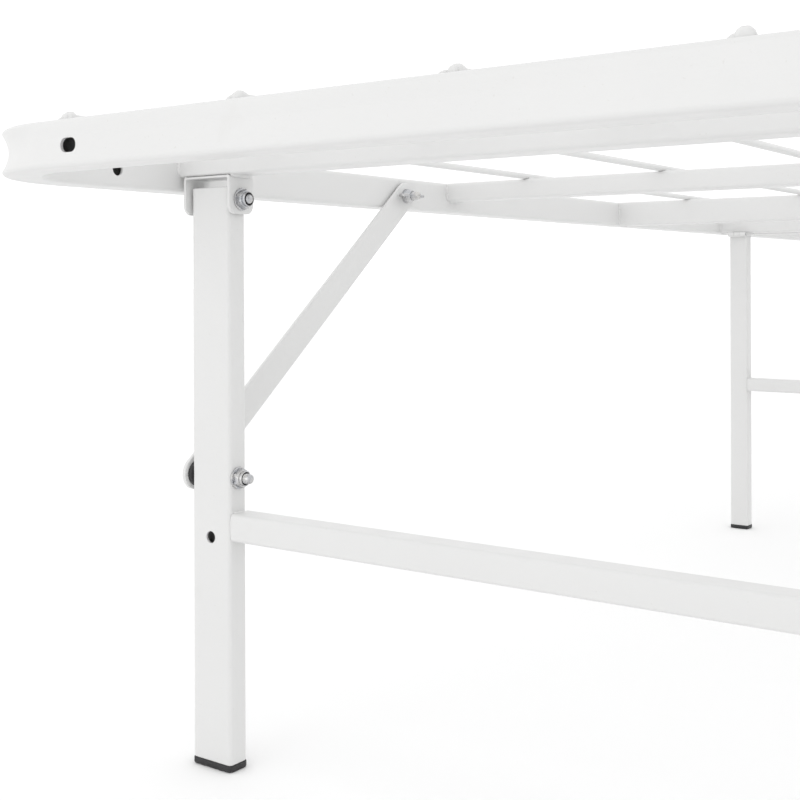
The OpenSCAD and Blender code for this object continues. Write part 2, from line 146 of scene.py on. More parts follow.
def ramp(nodes, links, source, stops):
    node = nodes.new("ShaderNodeValToRGB")
    band = node.color_ramp
    while len(band.elements) < len(stops):
        band.elements.new(0.5)
    for element, (at, color) in zip(band.elements, stops):
        element.position = at
        element.color = (*color, 1)
    links.new(source, node.inputs["Fac"])
    return node.outputs["Color"]


def spread(nodes, links, source, low, high):
    node = nodes.new("ShaderNodeMapRange")
    node.inputs["From Min"].default_value = 0.3
    node.inputs["From Max"].default_value = 0.7
    node.inputs["To Min"].default_value = low
    node.inputs["To Max"].default_value = high
    links.new(source, node.inputs["Value"])
    return node.outputs["Result"]


def multiply(nodes, links, a, b, amount):
    node = nodes.new("ShaderNodeMix")
    node.data_type = "RGBA"
    node.blend_type = "MULTIPLY"
    node.inputs["Factor"].default_value = amount
    links.new(a, node.inputs["A"])
    links.new(b, node.inputs["B"])
    return node.outputs["Result"]


def bump(nodes, links, source, strength, distance, before=None):
    node = nodes.new("ShaderNodeBump")
    node.inputs["Strength"].default_value = strength
    node.inputs["Distance"].default_value = distance
    links.new(source, node.inputs["Height"])
    if before is not None:
        links.new(before, node.inputs["Normal"])
    return node.outputs["Normal"]


def powder_coat(name, tint, seed):
    """White powder coat: faint clouding, orange peel, fine pits and a few dull scuffs."""
    mat, nodes, links = new_material(name)
    shader = nodes["Principled BSDF"]
    place = nodes.new("ShaderNodeTexCoord").outputs["Object"]
    move = nodes.new("ShaderNodeMapping")
    move.inputs["Location"].default_value = (seed * 0.37, seed * 0.21, seed * 0.13)
    links.new(place, move.inputs["Vector"])
    at = move.outputs["Vector"]
    cloud = ramp(nodes, links, noise(nodes, links, 9, 3, at),
                 [(0.3, [c * 0.985 for c in tint]), (0.7, tint)])
    scuff = ramp(nodes, links, noise(nodes, links, 42, 8, at),
                 [(0.0, (0.93, 0.925, 0.91)), (0.31, (1, 1, 1))])
    dust = ramp(nodes, links, noise(nodes, links, 700, 2, at),
                [(0.22, (0.9, 0.89, 0.87)), (0.3, (1, 1, 1))])
    color = multiply(nodes, links, cloud, scuff, 1.0)
    color = multiply(nodes, links, color, dust, 0.6)
    links.new(color, shader.inputs["Base Color"])
    links.new(spread(nodes, links, noise(nodes, links, 65, 5, at), 0.34, 0.46), shader.inputs["Roughness"])
    shader.inputs["Coat Weight"].default_value = 0.05
    shader.inputs["Coat Roughness"].default_value = 0.25
    waves = bump(nodes, links, noise(nodes, links, 380, 2, at), 0.16, 0.0004)
    grain = bump(nodes, links, noise(nodes, links, 1500, 3, at), 0.10, 0.0002, waves)
    links.new(grain, shader.inputs["Normal"])
    return mat


def zinc_plate(name, seed, rough):
    """Bright zinc: faint blue and yellow clouding, rolled grain and small dull spots."""
    mat, nodes, links = new_material(name)
    shader = nodes["Principled BSDF"]
    place = nodes.new("ShaderNodeTexCoord").outputs["Object"]
    move = nodes.new("ShaderNodeMapping")
    move.inputs["Location"].default_value = (seed, seed * 0.5, seed * 0.25)
    links.new(place, move.inputs["Vector"])
    at = move.outputs["Vector"]
    cloud = ramp(nodes, links, noise(nodes, links, 160, 4, at),
                 [(0.25, (0.40, 0.42, 0.45)), (0.5, (0.54, 0.54, 0.55)), (0.75, (0.60, 0.59, 0.565))])
    spot = ramp(nodes, links, noise(nodes, links, 900, 6, at),
                [(0.28, (0.55, 0.54, 0.52)), (0.4, (1, 1, 1))])
    links.new(multiply(nodes, links, cloud, spot, 0.8), shader.inputs["Base Color"])
    links.new(spread(nodes, links, noise(nodes, links, 600, 5, at), rough, rough + 0.16),
              shader.inputs["Roughness"])
    shader.inputs["Metallic"].default_value = 1.0
    links.new(bump(nodes, links, noise(nodes, links, 1800, 4, at), 0.12, 0.0002), shader.inputs["Normal"])
    return mat


def black_plastic(name, seed):
    """Moulded black plastic: fine spark-eroded grain, pale dust and worn lighter patches."""
    mat, nodes, links = new_material(name)
    shader = nodes["Principled BSDF"]
    place = nodes.new("ShaderNodeTexCoord").outputs["Object"]
    move = nodes.new("ShaderNodeMapping")
    move.inputs["Location"].default_value = (seed, seed * 0.4, seed * 0.2)
    links.new(place, move.inputs["Vector"])
    at = move.outputs["Vector"]
    body = ramp(nodes, links, noise(nodes, links, 120, 4, at),
                [(0.3, (0.012, 0.012, 0.013)), (0.7, (0.022, 0.022, 0.024))])
    worn = ramp(nodes, links, noise(nodes, links, 420, 8, at),
                [(0.0, (1, 1, 1)), (0.62, (1, 1, 1)), (0.72, (2.6, 2.5, 2.4))])
    links.new(multiply(nodes, links, body, worn, 1.0), shader.inputs["Base Color"])
    links.new(spread(nodes, links, noise(nodes, links, 240, 4, at), 0.42, 0.62), shader.inputs["Roughness"])
    links.new(bump(nodes, links, noise(nodes, links, 2600, 3, at), 0.25, 0.0002), shader.inputs["Normal"])
    return mat


COAT = (0.70, 0.70, 0.696)
LOOKS = {
    "rail": powder_coat("rail_coat", COAT, 1),
    "cross_bar": powder_coat("cross_bar_coat", COAT, 2),
    "deck_wire": powder_coat("deck_wire_coat", COAT, 3),
    "fitting": powder_coat("fitting_coat", COAT, 4),
    "leg": powder_coat("leg_coat", COAT, 5),
    "brace": powder_coat("brace_coat", COAT, 6),
    "zinc": zinc_plate("zinc_plate", 7, 0.20),
    "foot_cap": black_plastic("foot_cap_plastic", 8),
    "spacer": black_plastic("spacer_plastic", 9),
}
SLOT_OF = {row["node"]: row["material_slot"] for row in frame["record"]["subparts"]}
BODY_OF = {n: body for body, ns in frame["record"]["behaviour"]["bodies"].items() for n in ns}
for name, node in frame["nodes"].items():
    node.data.materials.clear()
    node.data.materials.append(LOOKS[SLOT_OF[name]])

# ---- places taken from the CAD model, in millimetres ------------------------------------


def box_of(node, side=0):
    """Low and high corner of a node, or of its solids on the side of that sign."""
    points = [v.co / MM for v in frame["nodes"][node].data.vertices]
    if side:
        points = [p for p in points if p.x * side > 0]
    low = Vector([min(p[i] for p in points) for i in range(3)])
    high = Vector([max(p[i] for p in points) for i in range(3)])
    return low, high


def middle(node, side=0):
    low, high = box_of(node, side)
    return (low + high) / 2


# ---- mesh building ----------------------------------------------------------------------


class Piece:
    """Collects mesh parts in millimetres, then becomes one object."""

    def __init__(self, name):
        self.name = name
        self.verts = []
        self.faces = []

    def add(self, verts, faces):
        start = len(self.verts)
        self.verts += [tuple(v) for v in verts]
        self.faces += [tuple(start + i for i in f) for f in faces]

    def rings(self, rings, loop=False):
        """A skin over rings of equal length, closed at both ends or joined into a loop."""
        n = len(rings[0])
        verts = [p for ring in rings for p in ring]
        faces = []
        count = len(rings)
        for k in range(count if loop else count - 1):
            a, b = k * n, (k + 1) % count * n
            for i in range(n):
                j = (i + 1) % n
                faces.append((a + i, a + j, b + j, b + i))
        if not loop:
            faces.append(tuple(range(n))[::-1])
            faces.append(tuple(range((count - 1) * n, count * n)))
        self.add(verts, faces)

    def lathe_x(self, x, y, z, way, profile, turns=40, loop=False):
        """Rings of (distance, radius) along X from x, in the direction way."""
        rings = []
        for along, radius in profile:
            ring = []
            for k in range(turns):
                a = 2 * math.pi * k / turns
                r = radius(a) if callable(radius) else radius
                ring.append((x + way * along, y + r * math.cos(a), z + r * math.sin(a)))
            rings.append(ring)
        self.rings(rings, loop)

    def done(self, nodes, cutters=(), sharp=38, edge=0.0, look=None):
        """Makes the object, which rides on the body of nodes[0] and replaces all of nodes."""
        look = look or SLOT_OF[nodes[0]]
        mesh = bpy.data.meshes.new(self.name)
        mesh.from_pydata([Vector(v) * MM for v in self.verts], [], self.faces)
        obj = bpy.data.objects.new(self.name, mesh)
        bpy.context.collection.objects.link(obj)
        tidy(mesh)
        for cutter in cutters:
            cut(obj, cutter)
        shade(obj.data, sharp)
        if edge:
            soft = obj.modifiers.new("edge", "BEVEL")
            soft.width = edge * MM
            soft.segments = 3
            soft.limit_method = "ANGLE"
            soft.angle_limit = math.radians(40)
            bake(obj)
            shade(obj.data, sharp)
        obj.data.materials.clear()
        obj.data.materials.append(LOOKS[look])
        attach(obj, BODY_OF[nodes[0]])
        if look == SLOT_OF[nodes[0]]:
            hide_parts(*nodes)
        return obj


def tidy(mesh):
    bm = bmesh.new()
    bm.from_mesh(mesh)
    bmesh.ops.recalc_face_normals(bm, faces=bm.faces)
    bm.to_mesh(mesh)
    bm.free()


def shade(mesh, sharp):
    bm = bmesh.new()
    bm.from_mesh(mesh)
    limit = math.radians(sharp)
    for face in bm.faces:
        face.smooth = True
    for e in bm.edges:
        e.smooth = len(e.link_faces) == 2 and e.calc_face_angle(0) < limit
    bm.to_mesh(mesh)
    bm.free()


def bake(obj):
    """Applies the object's modifiers."""
    seen = bpy.context.evaluated_depsgraph_get()
    mesh = bpy.data.meshes.new_from_object(obj.evaluated_get(seen))
    obj.modifiers.clear()
    obj.data = mesh


def cut(obj, cutter):
    """Takes the piece cutter out of obj."""
    mesh = bpy.data.meshes.new("cutter")
    mesh.from_pydata([Vector(v) * MM for v in cutter.verts], [], cutter.faces)
    tidy(mesh)
    tool = bpy.data.objects.new("cutter", mesh)
    bpy.context.collection.objects.link(tool)
    mod = obj.modifiers.new("cut", "BOOLEAN")
    mod.operation = "DIFFERENCE"
    mod.solver = "EXACT"
    mod.object = tool
    bake(obj)
    bpy.data.objects.remove(tool)


def rounded_ring(w, h, r, arc=6, straight=1):
    """Points (a, b) around a rounded rectangle centred on the origin."""
    r = max(r, 0.05)
    points = []
    corners = [(1, 1, 0), (-1, 1, 90), (-1, -1, 180), (1, -1, 270)]
    for sa, sb, start in corners:
        for k in range(arc + 1):
            t = math.radians(start + 90 * k / arc)
            points.append((sa * (w / 2 - r) + r * math.cos(t), sb * (h / 2 - r) + r * math.sin(t)))
    if straight > 1:
        full = []
        for i, p in enumerate(points):
            full.append(p)
            q = points[(i + 1) % len(points)]
            if (i + 1) % (arc + 1) == 0:
                for k in range(1, straight):
                    f = k / straight
                    full.append((p[0] + (q[0] - p[0]) * f, p[1] + (q[1] - p[1]) * f))
        points = full
    return points


def hex_radius(flat, limit):
    """Radius around a hexagon with that half width over flats, cut off at limit."""
    def radius(a):
        turn = (a + math.pi / 6) % (math.pi / 3) - math.pi / 6
        return min(flat / math.cos(turn), limit)
    return radius


chance = random.Random(688)


def weld(piece, points, radius, up, wobble=0.22):
    """A weld seam: a rippled rope of metal along points, half sunk in the corner it fills."""
    line = [Vector(p) for p in points]
    length = sum((b - a).length for a, b in zip(line, line[1:]))
    steps = max(6, int(length / (radius * 0.45)))
    rings = []
    start = Vector(up)
    for k in range(steps + 1):
        want = length * k / steps
        gone = 0.0
        for a, b in zip(line, line[1:]):
            seg = (b - a).length
            if gone + seg >= want or b == line[-1]:
                at = a + (b - a) * min(1.0, (want - gone) / seg)
                way = (b - a).normalized()
                break
            gone += seg
        side = way.cross(start).normalized()
        lift = side.cross(way).normalized()
        end = min(1.0, 0.35 + 4.0 * min(k, steps - k) / steps)
        r = radius * end * (1 + wobble * (0.5 * math.sin(k * 1.9) + chance.uniform(-0.5, 0.5)))
        ring = []
        for j in range(10):
            a = 2 * math.pi * j / 10
            ring.append(at + side * r * math.cos(a) + lift * r * 0.85 * math.sin(a))
        rings.append(ring)
    piece.rings(rings)


def blob(piece, centre, size, lump=0.12):
    """A lumpy spot of weld metal."""
    rows, turns = 7, 14
    rings = []
    phase = chance.uniform(0, 6)
    for i in range(1, rows):
        lat = math.pi * i / rows - math.pi / 2
        ring = []
        for k in range(turns):
            a = 2 * math.pi * k / turns
            r = 1 + lump * math.sin(3 * a + phase) * math.cos(lat) + lump * 0.5 * math.sin(5 * a + phase * 2)
            ring.append((
                centre[0] + size[0] * r * math.cos(lat) * math.cos(a),
                centre[1] + size[1] * r * math.cos(lat) * math.sin(a),
                centre[2] + size[2] * math.sin(lat),
            ))
        rings.append(ring)
    piece.rings(rings)


# ---- rails ------------------------------------------------------------------------------

RAIL_WALL = 1.5
RAIL_ROUND = 2.4
BEND_R = 72.0
BEND_SPREAD = 0.45  # the smaller, the sooner a bend reaches its full depth
BEND_CAVE = 3.3  # how far the outer wall is drawn in at a bend
SLOT = (10.4, 6.6)
SIDE_HOLE_R = 3.5
HOLE_DROP = 1.2  # below the middle of the rail
HOLE_AT = 96.0

rail_low, rail_high = box_of("foot_rail")
rail_h = rail_high.z - rail_low.z
rail_mid_z = (rail_low.z + rail_high.z) / 2
half_w = rail_high.x
half_l = -rail_low.y
rail_w = half_w - box_of("foot_leg_bar")[1].x


def rail_stations():
    """Points (x, y, outward x, outward y, bend) along the foot half's rail, on its centre line."""
    stations = []
    r = BEND_R - rail_w / 2
    side_x = half_w - rail_w / 2
    top_y = rail_high.y
    steps = 26
    for k in range(9):
        y = top_y + (-half_l + BEND_R - top_y) * k / 8
        stations.append((-side_x, y, -1.0, 0.0, 0.0))
    for k in range(1, steps + 1):
        a = math.radians(180 + 90 * k / steps)
        f = k / steps
        bend = max(0.0, math.sin(math.pi * f)) ** BEND_SPREAD
        stations.append((-half_w + BEND_R + r * math.cos(a), -half_l + BEND_R + r * math.sin(a),
                         math.cos(a), math.sin(a), bend))
    mirrored = [(-x, y, -nx, ny, b) for x, y, nx, ny, b in stations[::-1]]
    return stations + mirrored


def rail_skin(inset):
    """Rings of the rail's skin, inset from its outside."""
    ring_2d = rounded_ring(rail_w - 2 * inset, rail_h - 2 * inset, RAIL_ROUND - inset, 5, 8)
    rings = []
    for x, y, nx, ny, bend in rail_stations():
        ring = []
        for out, z in ring_2d:
            level = z / (rail_h / 2 - inset)
            if out > rail_w / 2 - inset - 2.0:
                out -= BEND_CAVE * bend * max(0.0, 1 - (level / 0.86) ** 2)
            if out < -rail_w / 2 + inset + 0.5:
                out += 0.5 * bend * max(0.0, 1 - level * level)
            ring.append((x + nx * out, y + ny * out, rail_mid_z + z))
        rings.append(ring)
    return rings


def slot_cutter(x, y):
    tool = Piece("slot")
    r = SLOT[1] / 2
    reach = SLOT[0] / 2 - r
    ring = []
    for sx, start in ((1, -90), (-1, 90)):
        for k in range(17):
            a = math.radians(start + 180 * k / 16)
            ring.append((x + sx * reach + r * math.cos(a), rail_mid_z - HOLE_DROP + r * math.sin(a)))
    tool.rings([[(px, y + dy, pz) for px, pz in ring] for dy in (-6, rail_w + 6)])
    return tool


def make_rail(node, sign):
    piece = Piece(node + "_look")
    outer, inner = rail_skin(0), rail_skin(RAIL_WALL)
    piece.rings(outer + inner[::-1], loop=True)
    piece.verts = [(x, sign * y, z) for x, y, z in piece.verts]
    cutters = []
    for side in (-1, 1):
        tool = slot_cutter(side * (half_w - HOLE_AT), -half_l)
        tool.verts = [(x, sign * y, z) for x, y, z in tool.verts]
        cutters.append(tool)
        tool = Piece("hole")
        tool.lathe_x(side * (half_w + 5), sign * (-half_l + HOLE_AT), rail_mid_z - HOLE_DROP, -side,
                     [(0, SIDE_HOLE_R), (rail_w + 10, SIDE_HOLE_R)])
        cutters.append(tool)
    return piece.done([node], cutters, sharp=50)


make_rail("foot_rail", 1)
make_rail("head_rail", -1)

# ---- cross bars with their weld seams ---------------------------------------------------


BAR_ROUND = 2.2


def make_bar(node):
    low, high = box_of(node)
    piece = Piece(node + "_look")
    ring_2d = rounded_ring(high.y - low.y, high.z - low.z, BAR_ROUND, 6)
    y, z = (low.y + high.y) / 2, (low.z + high.z) / 2
    piece.rings([[(x, y + a, z + b) for a, b in ring_2d] for x in (low.x, high.x)])
    for side in (-1, 1):
        x = side * (high.x - 0.2)
        for face in (-1, 1):
            edge_y = y + face * (high.y - low.y) / 2
            run = [(x, edge_y - face * 0.3, low.z + 1.5), (x, edge_y - face * 0.3, high.z - 2.5)]
            weld(piece, run, 1.5, (-side, face, 0))
        run = [(x, low.y + 2.5, low.z + 0.3), (x, high.y - 2.5, low.z + 0.3)]
        weld(piece, run, 1.4, (-side, 0, -1))
    return piece.done([node])


for end in ("foot", "head"):
    for part in ("leg_bar", "cross_bar_outer", "cross_bar_inner", "fold_bar"):
        make_bar(f"{end}_{part}")

# ---- deck wires and the weld spots that hold them ---------------------------------------


END_SINK = 1.0  # how far a wire is pressed down onto the end rail


def make_wires(node, end, sign):
    low, high = box_of(node)
    radius = (high.z - low.z) / 2 + 0.15
    z = high.z - radius
    xs = sorted({round(v.co.x / MM, 2) for v in frame["nodes"][node].data.vertices
                 if abs(v.co.z / MM - high.z) < 0.02})
    rows = []
    for x in xs:
        if not rows or x - rows[-1] > 20:
            rows.append(x)
    piece = Piece(node + "_look")
    y0, y1 = (low.y, high.y) if sign > 0 else (high.y, low.y)
    bars = [middle(f"{end}_{p}").y for p in ("leg_bar", "cross_bar_outer", "cross_bar_inner", "fold_bar")]
    for n, x in enumerate(rows):
        rings = []
        steps = [0, 0.15, 0.7, 1.6]
        radii = [radius * 0.45, radius * 0.75, radius * 0.95, radius]
        ends = [(y0 + sign * s, r, END_SINK) for s, r in zip(steps, radii)]
        ends += [(y0 + sign * s, radius, END_SINK * (1 - (s - 14) / 50)) for s in (14, 24, 39, 64)]
        ends += [(y1 - sign * s, r, 0) for s, r in zip(steps[::-1], radii[::-1])]
        for y, r, sink in ends:
            ring = []
            for k in range(20):
                a = 2 * math.pi * k / 20
                ring.append((x + r * math.cos(a), y, max(z - sink + r * math.sin(a), low.z)))
            rings.append(ring)
        piece.rings(rings)
        lean = 1.2 * math.sin(n * 2.3)
        blob(piece, (x + 0.4 + lean * 0.3, y0 + sign * chance.uniform(2.5, 4), low.z + 0.2),
             (chance.uniform(3.2, 3.9), chance.uniform(3.2, 4.2), chance.uniform(4.0, 4.4)))
        blob(piece, (x - 3.6 + lean * 0.3, y0 + sign * chance.uniform(3, 5), low.z + 0.1),
             (chance.uniform(2.6, 3.4), chance.uniform(3.2, 4.2), chance.uniform(2.0, 2.9)))
        for y in bars:
            for dx in (-2.3, 2.3):
                blob(piece, (x + dx, y + chance.uniform(-2, 2), low.z + 0.2),
                     (chance.uniform(1.5, 2.2), chance.uniform(3.2, 5), chance.uniform(1.2, 1.9)))
    return piece.done([node], sharp=50)


make_wires("foot_wires", "foot", 1)
make_wires("head_wires", "head", -1)

# ---- leg brackets: bent sheet -----------------------------------------------------------


SHEET = 1.6
SHEET_BEND = 2.6  # outer radius
EAR_ROUND = 5.0
LIP = 2.2  # depth of the plate's outer edge that stands off the bar
LIP_DIP = 0.7


def make_brackets(node):
    piece = Piece(node + "_look")
    out = -1 if node.startswith("foot") else 1
    for side in (-1, 1):
        low, high = box_of(node, side)
        y = (low.y + high.y) / 2
        half_y = (high.y - low.y) / 2
        half_x = (high.x - low.x) / 2
        cx = (low.x + high.x) / 2
        path = []
        depth = high.z - low.z
        ear = [0, 0.12, 0.3, 0.6, 1.1, 1.8, 2.7, 3.8, 5.0, depth - SHEET_BEND - 0.01]
        for s in ear:
            path.append((-half_x, s, 1.0, 0.0, s))
        for k in range(1, 8):
            a = math.radians(90 * k / 8)
            path.append((-half_x + SHEET_BEND - SHEET_BEND * math.cos(a),
                         depth - SHEET_BEND + SHEET_BEND * math.sin(a),
                         math.cos(a), -math.sin(a), 99))
        path += [(-half_x + SHEET_BEND, depth, 0.0, -1.0, 99)]
        path += [(-px, pz, -nx, nz, s) for px, pz, nx, nz, s in path[::-1]]
        rings = []
        for px, pz, nx, nz, s in path:
            w = half_y
            if s < EAR_ROUND:
                w = half_y - EAR_ROUND + math.sqrt(max(0.0, EAR_ROUND ** 2 - (EAR_ROUND - s) ** 2))
            dip = LIP_DIP if abs(nx) < 0.3 else 0.0
            rings.append([
                (cx + px, y + out * w, low.z + pz + nz * dip), (cx + px, y + out * (w - LIP), low.z + pz),
                (cx + px, y - out * w, low.z + pz),
                (cx + px + nx * SHEET, y - out * w, low.z + pz + nz * SHEET),
                (cx + px + nx * SHEET, y + out * w, low.z + pz + nz * SHEET),
            ])
        piece.rings(rings)
        for face in (-1, 1):
            run = [(low.x + 4, y + face * (half_y - 0.1), high.z - 0.1),
                   (high.x - 4, y + face * (half_y - 0.1), high.z - 0.1)]
            if face * (1 if "foot" in node else -1) > 0:
                weld(piece, run, 1.3, (0, face, -1))
        ear_x = low.x if side > 0 else high.x
        run = [(ear_x, low.y + 1.4, high.z - 0.2), (ear_x, high.y - 1.4, high.z - 0.2)]
        weld(piece, run, 1.9, (-side, 0, -1), 0.07)
    return piece.done([node], edge=0.35)


make_brackets("foot_leg_brackets")
make_brackets("head_leg_brackets")

# ---- legs, ties and foot caps -----------------------------------------------------------

TUBE_WALL = 1.3
LEG_ROUND = 2.7
MID_LEG_ROUND = 2.0
LEG_HOLE_R = 3.4
LEG_HOLE_Z = 131.2


def make_leg(node, round_r, hole):
    low, high = box_of(node)
    cx, cy = (low.x + high.x) / 2, (low.y + high.y) / 2
    w, d = high.x - low.x, high.y - low.y
    piece = Piece(node + "_look")
    rings = []
    for inset, z in ((0.35, low.z), (0, low.z + 0.4), (0, high.z - 0.4), (0.35, high.z)):
        ring = rounded_ring(w - 2 * inset, d - 2 * inset, round_r - inset, 7)
        rings.append([(cx + a, cy + b, z) for a, b in ring])
    for z in (high.z, low.z):
        ring = rounded_ring(w - 2 * TUBE_WALL, d - 2 * TUBE_WALL, round_r - TUBE_WALL, 7)
        rings.append([(cx + a, cy + b, z) for a, b in ring])
    piece.rings(rings, loop=True)
    cutters = []
    if hole:
        front = low.y if cy < 0 else high.y
        tool = Piece("hole")
        rings = []
        for dy in (-4, 4):
            ring = []
            for k in range(28):
                a = 2 * math.pi * k / 28
                ring.append((cx + LEG_HOLE_R * math.cos(a), front + dy,
                             LEG_HOLE_Z + LEG_HOLE_R * math.sin(a)))
            rings.append(ring)
        tool.rings(rings)
        cutters.append(tool)
    return piece.done([node], cutters)


def make_tie(node, leg):
    low, high = box_of(node)
    piece = Piece(node + "_look")
    y, z = (low.y + high.y) / 2, (low.z + high.z) / 2
    ring_2d = rounded_ring(high.y - low.y, high.z - low.z, BAR_ROUND, 6)
    piece.rings([[(x, y + a, z + b) for a, b in ring_2d] for x in (low.x, high.x)])
    leg_low, leg_high = box_of(leg)
    for side in (-1, 1):
        x = side * high.x - side * 0.2
        for edge_z, up in ((high.z, 1), (low.z, -1)):
            run = [(x, max(low.y, leg_low.y) + 2.5, edge_z - up * 0.2),
                   (x, min(high.y, leg_high.y) - 2.0, edge_z - up * 0.2)]
            weld(piece, run, 1.2, (-side, 0, up))
        run = [(x, low.y + 0.7, low.z + 2), (x, low.y + 0.7, high.z - 2)]
        weld(piece, run, 0.9, (-side, -1, 0))
    return piece.done([node])


def make_caps(node):
    piece = Piece(node + "_look")
    leg = {"foot": "foot_leg_left", "head": "head_leg_left", "mid": "mid_leg_left"}[node.split("_")[0]]
    rim_z = box_of(leg)[0].z
    round_r = MID_LEG_ROUND if "mid" in node else LEG_ROUND
    for side in (-1, 1):
        low, high = box_of(node, side)
        cx, cy = (low.x + high.x) / 2, (low.y + high.y) / 2
        w, d = high.x - low.x, high.y - low.y
        rings = []
        steps = [(1.0, 0), (0.3, 0.2), (-0.25, 0.7), (-0.35, 1.2), (-0.35, rim_z - 0.5), (-0.15, rim_z - 0.1),
                 (0.4, rim_z), (TUBE_WALL + 0.06, rim_z), (TUBE_WALL + 0.06, rim_z + 12)]
        for inset, z in steps:
            ring = rounded_ring(w - 2 * inset, d - 2 * inset, round_r - inset * 0.6, 7)
            rings.append([(cx + a, cy + b, z) for a, b in ring])
        piece.rings(rings)
        for k in range(5):
            y = cy + (k - 2) * d / 6
            rib = rounded_ring(w * 0.62, 0.7, 0.3, 3)
            piece.rings([[(cx + a, y + b, z) for a, b in rib] for z in (0.0, 0.5)])
    return piece.done([node])


for end in ("foot", "head"):
    for part in ("left", "right"):
        make_leg(f"{end}_leg_{part}", LEG_ROUND, True)
    make_tie(f"{end}_leg_tie", f"{end}_leg_left")
    make_caps(f"{end}_leg_caps")
for part in ("left", "right"):
    make_leg(f"mid_leg_{part}", MID_LEG_ROUND, False)
make_tie("mid_leg_tie", "mid_leg_left")
make_caps("mid_leg_caps")

# ---- braces -----------------------------------------------------------------------------


def make_brace(end, part, side):
    node = f"{end}_brace_{part}"
    low, high = box_of(node)
    pivot = middle(f"{end}_brace_bolts", side)
    clamp = middle(f"{end}_clamp_screw_{part}")
    run = Vector((clamp.y - pivot.y, clamp.z - pivot.z))
    length = run.length
    u = run / length
    v = Vector((-u.y, u.x))
    r = (high.z - clamp.z)
    ring = []
    for at, start in ((length, -90), (0, 90)):
        for k in range(25):
            a = math.radians(start + 180 * k / 24)
            along, off = at + r * math.cos(a), r * math.sin(a)
            ring.append((along, off))
    piece = Piece(node + "_look")
    rings = []
    t = high.x - low.x
    for inset, x in ((0.7, 0), (0.2, 0.2), (0, 0.6), (0, t - 0.6), (0.2, t - 0.2), (0.7, t)):
        loop = []
        for along, off in ring:
            f = (r - inset) / r
            centre = min(max(along, 0), length)
            a, o = centre + (along - centre) * f, off * f
            loop.append((low.x + x, pivot.y + u.x * a + v.x * o, pivot.z + u.y * a + v.y * o))
        rings.append(loop)
    piece.rings(rings)
    return piece.done([node])


SIDES = (("left", -1), ("right", 1))
for end in ("foot", "head"):
    for part, side in SIDES:
        make_brace(end, part, side)

# ---- fasteners --------------------------------------------------------------------------

BOLT_R = 3.0
BOLT_HEAD_T = 2.4
HOLE_R = 3.15  # through washers and nuts
NUT_BORE_R = 3.1
INSERT_R = 3.12  # inside of a lock nut's insert
SPACER_HOLE_R = 3.2
HUB_R = 5.1  # of a wing nut
HUB_T = 6.0
HEX_TURNS = 72


def thread(start, stop, radius, pitch=1.0, depth=0.3):
    """Profile of a thread from start to stop with a rounded point."""
    profile = []
    s = start
    while s < stop - 1.6:
        profile += [(s, radius - depth), (s + pitch * 0.5, radius)]
        s += pitch
    profile += [(stop - 1.3, radius - depth), (stop - 0.9, radius - depth), (stop - 0.45, radius * 0.8),
                (stop - 0.12, radius * 0.5), (stop, radius * 0.2)]
    return profile


def make_bolts(node, nuts):
    piece = Piece(node + "_look")
    for side in (-1, 1):
        low, high = box_of(node, side)
        y, z = (low.y + high.y) / 2, (low.z + high.z) / 2
        head_r = (high.z - low.z) / 2
        way = -side
        start = low.x if way > 0 else high.x
        length = high.x - low.x
        nut_low, nut_high = box_of(nuts, side)
        grip = ((nut_high if way > 0 else nut_low).x - start) * way
        profile = [(0.05, head_r * 0.15), (0.25, head_r * 0.5), (0.7, head_r * 0.8), (1.3, head_r * 0.95),
                   (BOLT_HEAD_T - 0.3, head_r), (BOLT_HEAD_T, head_r * 0.97), (BOLT_HEAD_T, BOLT_R)]
        profile += [(grip - 1.0, BOLT_R)] + thread(grip - 0.6, length, BOLT_R - 0.05)
        piece.lathe_x(start, y, z, way, profile)
    return piece.done([node], sharp=42)


def make_washers(node):
    piece = Piece(node + "_look")
    for side in (-1, 1):
        low, high = box_of(node, side)
        y, z = (low.y + high.y) / 2, (low.z + high.z) / 2
        r = (high.z - low.z) / 2
        t = high.x - low.x
        profile = [(0, HOLE_R), (0, r - 0.3), (0.15, r - 0.05), (0.5 * t, r), (t - 0.15, r - 0.05),
                   (t, r - 0.3), (t, HOLE_R)]
        piece.lathe_x(low.x, y, z, 1, profile, loop=True)
    return piece.done([node])


def make_nuts(node):
    """Lock nuts: a chamfered hexagon with the round collar that holds the insert."""
    piece = Piece(node + "_look")
    inserts = Piece(node + "_inserts")
    for side in (-1, 1):
        low, high = box_of(node, side)
        y, z = (low.y + high.y) / 2, (low.z + high.z) / 2
        wide = high.y - low.y > high.z - low.z  # a corner points along Y
        flat = (high.y - low.y) / 2 * (math.cos(math.pi / 6) if wide else 1)
        way = -side
        start = low.x if way > 0 else high.x
        t = high.x - low.x
        body = t * 0.68
        tip = flat / math.cos(math.pi / 6)
        profile = [(0, NUT_BORE_R), (0, hex_radius(flat, flat * 0.98)), (0.5, hex_radius(flat, tip)),
                   (body - 0.5, hex_radius(flat, tip)), (body, hex_radius(flat, flat * 0.97)),
                   (body + 0.05, flat * 0.86), (t - 0.7, flat * 0.85), (t - 0.2, flat * 0.82),
                   (t, flat * 0.76), (t - 0.5, flat * 0.7), (t - 1.6, flat * 0.69), (t - 1.6, HOLE_R)]
        piece.lathe_x(start, y, z, way, profile, HEX_TURNS, loop=True)
        profile = [(t - 1.5, INSERT_R), (t - 1.5, flat * 0.68), (t - 0.55, flat * 0.68),
                   (t - 0.3, flat * 0.62), (t - 0.4, INSERT_R)]
        inserts.lathe_x(start, y, z, way, profile, HEX_TURNS, loop=True)
    inserts.done([node], look="spacer")
    return piece.done([node], sharp=30)


